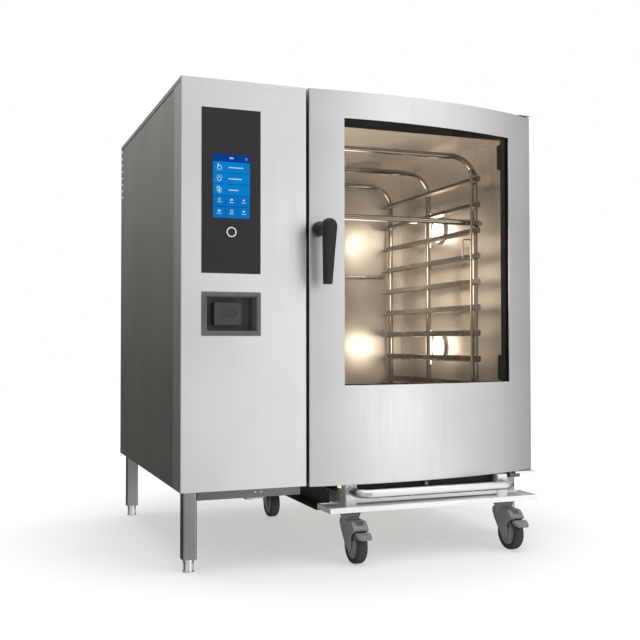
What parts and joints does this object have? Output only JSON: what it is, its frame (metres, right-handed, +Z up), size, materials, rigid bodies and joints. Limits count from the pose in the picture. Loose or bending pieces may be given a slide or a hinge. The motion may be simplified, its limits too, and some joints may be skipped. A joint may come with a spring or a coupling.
{
  "type": "combi steamer oven",
  "caption": "Floor-standing roll-in combi steamer oven: control column, bowed glass door, lit cavity and a wheeled rack trolley that docks under the door.",
  "frame": {"origin": "middle of the footprint of the whole object, on the floor", "axes": "+Z up and along the height; -Y out through the door; +X to the right when facing the front, towards the door hinges"},
  "size_m": [1.111, 1.059, 1.3014],
  "materials": {
    "black_enamel": "semi matt black",
    "black_plastic": "fine moulded grain",
    "black_rubber": "soft extruded seal",
    "bright_steel": "polished round bar and bent sheet",
    "brushed_steel": "fine vertical brushing, satin",
    "cast_metal": "cast and pressed housings",
    "cavity_steel": "bright rolled, warm in the lamp light",
    "clear_glass": "toughened clear glass",
    "dark_glass": "dark printed front glass",
    "grey_plastic": "satin moulded",
    "heater_steel": "heat darkened tube",
    "lamp_glass": "frosted lamp cover, lit",
    "mineral_wool": "compressed fibre blanket",
    "polished_steel": "turned and polished",
    "tyre_rubber": "smooth rolling tread"
  },
  "bodies": {
    "cabinet": {"base_frame": "brushed_steel", "control_fascia": "brushed_steel", "left_side_panel": "brushed_steel", "right_side_panel": "brushed_steel", "rear_panel": "brushed_steel", "top_panel": "brushed_steel", "cavity_liner": "cavity_steel", "insulation_jacket": "mineral_wool", "air_baffle": "cavity_steel", "steam_generator": "brushed_steel", "drain_box": "brushed_steel", "vent_tube": "brushed_steel", "door_gasket": "black_rubber", "touch_panel": "dark_glass", "display_unit": "black_plastic", "electronics_tray": "cast_metal", "shower_housing": "grey_plastic", "latch_keeper": "bright_steel", "hinge_top": "bright_steel", "hinge_bottom": "bright_steel", "fan_motor_upper": "cast_metal", "heater_upper": "heater_steel", "lamp_upper": "lamp_glass", "fan_motor_lower": "cast_metal", "heater_lower": "heater_steel", "lamp_lower": "lamp_glass"},
    "door": {"door_outer_panel": "brushed_steel", "door_outer_glass": "clear_glass", "window_tunnel": "black_enamel", "door_liner": "brushed_steel", "door_inner_glass": "clear_glass"},
    "handle": {"door_handle": "black_plastic", "latch_hook": "bright_steel"},
    "trolley": {"trolley_base": "brushed_steel", "trolley_neck": "brushed_steel", "trolley_rack": "bright_steel", "drip_tray": "brushed_steel", "trolley_handle": "bright_steel"},
    "tray_gate": {"tray_stop": "bright_steel"},
    "hand_shower": {"shower_head": "black_plastic", "shower_hose": "black_rubber"},
    "reel": {"hose_reel": "black_plastic"},
    "fan_upper": {"fan_wheel_upper": "brushed_steel"},
    "fan_lower": {"fan_wheel_lower": "brushed_steel"},
    "flap": {"vent_flap": "brushed_steel"},
    "key": {"power_key": "dark_glass"},
    "leveller_front_left": {"foot_front_left": "polished_steel"},
    "swivel_front_left": {"caster_fork_front_left": "grey_plastic"},
    "roller_front_left": {"caster_wheel_front_left": "tyre_rubber"},
    "leveller_front_right": {"foot_front_right": "polished_steel"},
    "swivel_front_right": {"caster_fork_front_right": "grey_plastic"},
    "roller_front_right": {"caster_wheel_front_right": "tyre_rubber"},
    "leveller_rear_left": {"foot_rear_left": "polished_steel"},
    "swivel_rear_left": {"caster_fork_rear_left": "grey_plastic"},
    "roller_rear_left": {"caster_wheel_rear_left": "tyre_rubber"},
    "leveller_rear_right": {"foot_rear_right": "polished_steel"},
    "swivel_rear_right": {"caster_fork_rear_right": "grey_plastic"},
    "roller_rear_right": {"caster_wheel_rear_right": "tyre_rubber"},
    "pedal_front_left": {"brake_pedal_front_left": "black_plastic"},
    "pedal_front_right": {"brake_pedal_front_right": "black_plastic"}
  },
  "joints": [
    {"name": "door_swing", "type": "hinge", "parent": "cabinet", "child": "door", "pos_m": [0.5395, -0.3445, 0.75], "axis": [0, 0, 1], "range_deg": [0, 130]},
    {"name": "handle_turn", "type": "hinge", "parent": "door", "child": "handle", "pos_m": [-0.1765, -0.4825, 0.911], "axis": [0, 1, 0], "range_deg": [0, 90]},
    {"name": "trolley_shift", "type": "slide", "parent": "cabinet", "child": "trolley", "axis": [0, -1, 0], "range_m": [0, 0.04]},
    {"name": "tray_stop_lift", "type": "slide", "parent": "trolley", "child": "tray_gate", "axis": [0, 0, 1], "range_m": [0, 0.03]},
    {"name": "shower_pull", "type": "slide", "parent": "cabinet", "child": "hand_shower", "axis": [0, -1, 0], "range_m": [0, 0.4]},
    {"name": "reel_turn", "type": "hinge", "parent": "cabinet", "child": "reel", "pos_m": [-0.4225, 0.2575, 0.747], "axis": [1, 0, 0], "range_deg": [-340, 0]},
    {"name": "fan_upper_spin", "type": "hinge", "parent": "cabinet", "child": "fan_upper", "pos_m": [-0.2055, 0.0675, 0.955], "axis": [1, 0, 0], "continuous": true},
    {"name": "fan_lower_spin", "type": "hinge", "parent": "cabinet", "child": "fan_lower", "pos_m": [-0.2055, 0.0675, 0.545], "axis": [1, 0, 0], "continuous": true},
    {"name": "vent_flap_turn", "type": "hinge", "parent": "cabinet", "child": "flap", "pos_m": [0.0445, 0.3675, 1.272], "axis": [1, 0, 0], "range_deg": [0, 90]},
    {"name": "power_key_press", "type": "slide", "parent": "cabinet", "child": "key", "axis": [0, 1, 0], "range_m": [0, 0.001], "stiffness_N_per_m": 1500},
    {"name": "caster_swivel_front_left", "type": "hinge", "parent": "trolley", "child": "swivel_front_left", "pos_m": [-0.0715, -0.4045, 0.12], "axis": [0, 0, 1], "continuous": true},
    {"name": "caster_roll_front_left", "type": "hinge", "parent": "swivel_front_left", "child": "roller_front_left", "pos_m": [-0.0715, -0.4445, 0.05], "axis": [1, 0, 0], "continuous": true},
    {"name": "brake_front_left", "type": "hinge", "parent": "swivel_front_left", "child": "pedal_front_left", "pos_m": [-0.0715, -0.4885, 0.085], "axis": [1, 0, 0], "range_deg": [0, 15]},
    {"name": "caster_swivel_front_right", "type": "hinge", "parent": "trolley", "child": "swivel_front_right", "pos_m": [0.4195, -0.4045, 0.12], "axis": [0, 0, 1], "continuous": true},
    {"name": "caster_roll_front_right", "type": "hinge", "parent": "swivel_front_right", "child": "roller_front_right", "pos_m": [0.4195, -0.4445, 0.05], "axis": [1, 0, 0], "continuous": true},
    {"name": "brake_front_right", "type": "hinge", "parent": "swivel_front_right", "child": "pedal_front_right", "pos_m": [0.4195, -0.4885, 0.085], "axis": [1, 0, 0], "range_deg": [0, 15]},
    {"name": "caster_swivel_rear_left", "type": "hinge", "parent": "trolley", "child": "swivel_rear_left", "pos_m": [-0.0715, 0.3375, 0.12], "axis": [0, 0, 1], "continuous": true},
    {"name": "caster_roll_rear_left", "type": "hinge", "parent": "swivel_rear_left", "child": "roller_rear_left", "pos_m": [-0.0715, 0.2975, 0.05], "axis": [1, 0, 0], "continuous": true},
    {"name": "caster_swivel_rear_right", "type": "hinge", "parent": "trolley", "child": "swivel_rear_right", "pos_m": [0.4195, 0.3375, 0.12], "axis": [0, 0, 1], "continuous": true},
    {"name": "caster_roll_rear_right", "type": "hinge", "parent": "swivel_rear_right", "child": "roller_rear_right", "pos_m": [0.4195, 0.2975, 0.05], "axis": [1, 0, 0], "continuous": true},
    {"name": "level_front_left", "type": "slide", "parent": "cabinet", "child": "leveller_front_left", "axis": [0, 0, 1], "range_m": [-0.02, 0]},
    {"name": "level_front_right", "type": "slide", "parent": "cabinet", "child": "leveller_front_right", "axis": [0, 0, 1], "range_m": [-0.02, 0]},
    {"name": "level_rear_left", "type": "slide", "parent": "cabinet", "child": "leveller_rear_left", "axis": [0, 0, 1], "range_m": [-0.02, 0]},
    {"name": "level_rear_right", "type": "slide", "parent": "cabinet", "child": "leveller_rear_right", "axis": [0, 0, 1], "range_m": [-0.02, 0]}
  ],
  "couplings": [
    {"joint": "reel_turn", "follows": "shower_pull", "rad_per_m": -14.706}
  ]
}
